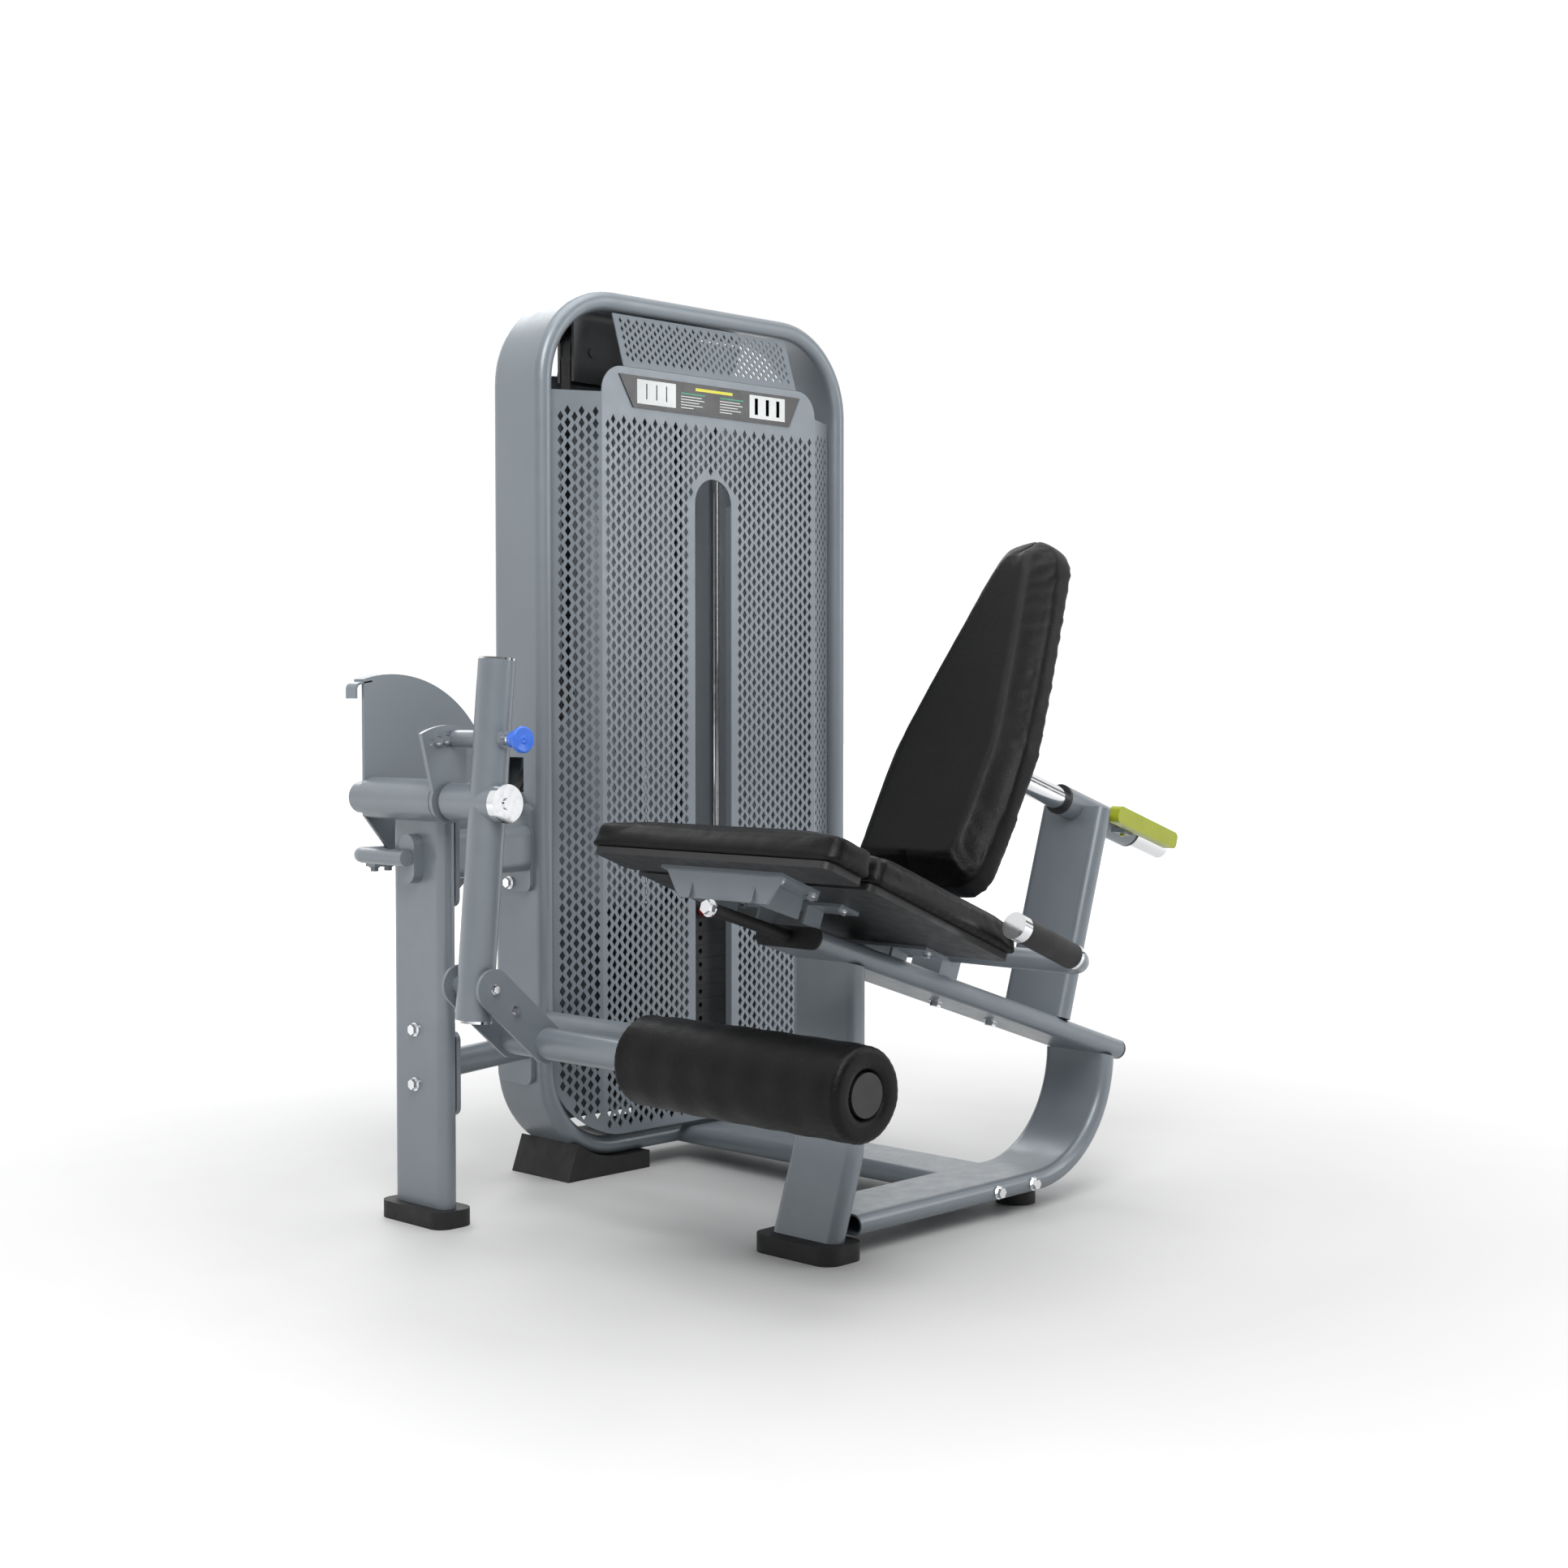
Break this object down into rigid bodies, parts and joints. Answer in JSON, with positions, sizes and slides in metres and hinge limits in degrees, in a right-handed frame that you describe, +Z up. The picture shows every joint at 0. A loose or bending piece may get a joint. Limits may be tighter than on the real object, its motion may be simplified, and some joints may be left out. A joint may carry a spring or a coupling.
{
  "type": "leg extension machine",
  "caption": "Seated leg extension gym machine with a shrouded weight stack, swinging lever with padded ankle roller, tilted seat and adjustable backrest.",
  "frame": {"origin": "on the floor under the middle of the machine's overall box", "axes": "+X from the lever end to the back of the seat, +Y from the seat towards the weight tower, +Z up"},
  "size_m": [1.2142, 1.0869, 1.5],
  "materials": {
    "powder_coat": "satin powder coat",
    "dark_coat": "dark satin powder coat",
    "chrome": "polished chrome",
    "steel_plates": "black painted cast iron",
    "black_rubber": "matt moulded rubber",
    "upholstery": "fine-grained synthetic leather",
    "black_plastic": "fine textured plastic",
    "panel_board": "smooth panel",
    "belt_rubber": "ribbed drive belt",
    "blue_knob": "glossy blue plastic",
    "lime_handle": "yellow-green plastic",
    "red_pin": "red plastic and steel"
  },
  "bodies": {
    "frame": {"tower_ring": "powder_coat", "tower_feet": "black_rubber", "front_shroud": "powder_coat", "rear_shroud": "powder_coat", "placard": "panel_board", "guide_rods": "chrome", "tower_brackets": "dark_coat", "weight_plates": "steel_plates", "rubber_bumpers": "black_rubber", "front_post": "powder_coat", "leg_feet": "black_rubber", "pivot_housing": "powder_coat", "bearing_bushes": "black_plastic", "upper_brace": "powder_coat", "lower_brace": "powder_coat", "lateral_brace": "powder_coat", "floor_cross_tube": "powder_coat", "seat_column": "powder_coat", "base_tube": "powder_coat", "stop_pad": "powder_coat", "seat_beam": "powder_coat", "beam_caps": "black_rubber", "front_seat_bracket": "powder_coat", "rear_seat_brackets": "powder_coat", "seat_boards": "black_plastic", "front_seat_pad": "upholstery", "rear_seat_pad": "upholstery", "back_post": "powder_coat", "slide_sleeve": "powder_coat", "handle_bars": "powder_coat", "handle_grips": "black_rubber", "handle_caps": "chrome", "frame_bolts": "chrome", "tower_belt": "belt_rubber", "cam_belt": "belt_rubber", "stack_belt": "belt_rubber"},
    "drive": {"pivot_shaft": "chrome", "cam": "powder_coat", "shaft_collar": "powder_coat", "sector_plate": "powder_coat", "stop_bar": "powder_coat"},
    "lever": {"lever_hub": "powder_coat", "lever_tube": "powder_coat", "lever_caps": "chrome"},
    "start_pin": {"plunger": "chrome", "pull_knob": "blue_knob"},
    "link": {"link_plates": "powder_coat", "roller_tube": "powder_coat", "link_bolts": "chrome"},
    "roller": {"roller_pad": "upholstery", "roller_plugs": "black_plastic"},
    "stack": {"stack_head": "steel_plates"},
    "stack_pin": {"selector_pin": "red_pin"},
    "guide_wheel": {"guide_pulley": "black_plastic"},
    "front_top_wheel": {"front_top_pulley": "black_plastic"},
    "rear_top_wheel": {"rear_top_pulley": "black_plastic"},
    "backrest": {"slide_tube": "chrome", "back_plate": "powder_coat", "backrest_pad": "upholstery"},
    "back_lock": {"adjust_paddle": "lime_handle"}
  },
  "joints": [
    {"name": "drive_swing", "type": "hinge", "parent": "frame", "child": "drive", "pos_m": [-0.5506, 0.4565, 0.655], "axis": [0, 1, 0], "range_deg": [0, 95]},
    {"name": "start_adjust", "type": "hinge", "parent": "drive", "child": "lever", "pos_m": [-0.5506, 0.1845, 0.655], "axis": [0, 1, 0], "range_deg": [-18.6, 0]},
    {"name": "start_pin_pull", "type": "slide", "parent": "lever", "child": "start_pin", "axis": [0, -1, 0], "range_m": [-0.01, 0.006]},
    {"name": "link_swing", "type": "hinge", "parent": "lever", "child": "link", "pos_m": [-0.57439, 0.1595, 0.38304], "axis": [0, 1, 0], "range_deg": [-20, 0]},
    {"name": "roller_spin", "type": "hinge", "parent": "link", "child": "roller", "pos_m": [-0.47407, -0.3155, 0.29271], "axis": [0, 1, 0], "continuous": true},
    {"name": "stack_lift", "type": "slide", "parent": "frame", "child": "stack", "axis": [0, 0, 1], "range_m": [0, 0.33], "deforming": ["stack_belt", "cam_belt"]},
    {"name": "stack_pin_pull", "type": "slide", "parent": "stack", "child": "stack_pin", "axis": [0, -1, 0], "range_m": [0, 0.06]},
    {"name": "guide_spin", "type": "hinge", "parent": "frame", "child": "guide_wheel", "pos_m": [-0.1766, 0.4605, 0.82], "axis": [0, 1, 0], "range_deg": [0, 500]},
    {"name": "front_top_spin", "type": "hinge", "parent": "frame", "child": "front_top_wheel", "pos_m": [-0.0996, 0.4605, 1.4], "axis": [0, 1, 0], "range_deg": [-500, 0]},
    {"name": "rear_top_spin", "type": "hinge", "parent": "frame", "child": "rear_top_wheel", "pos_m": [0.0824, 0.4605, 1.4], "axis": [0, 1, 0], "range_deg": [-500, 0]},
    {"name": "backrest_slide", "type": "slide", "parent": "frame", "child": "backrest", "axis": [0.9511, 0, -0.309], "range_m": [0, 0.1]},
    {"name": "back_lock_turn", "type": "hinge", "parent": "frame", "child": "back_lock", "pos_m": [0.454, -0.2735, 0.60165], "axis": [0.309, 0, 0.9511], "range_deg": [-8, 0]}
  ],
  "couplings": [
    {"joint": "stack_lift", "follows": "drive_swing", "m_per_rad": 0.198},
    {"joint": "guide_spin", "follows": "drive_swing", "ratio": 5.1429},
    {"joint": "front_top_spin", "follows": "drive_swing", "ratio": -5.1429},
    {"joint": "rear_top_spin", "follows": "drive_swing", "ratio": -5.1429}
  ]
}
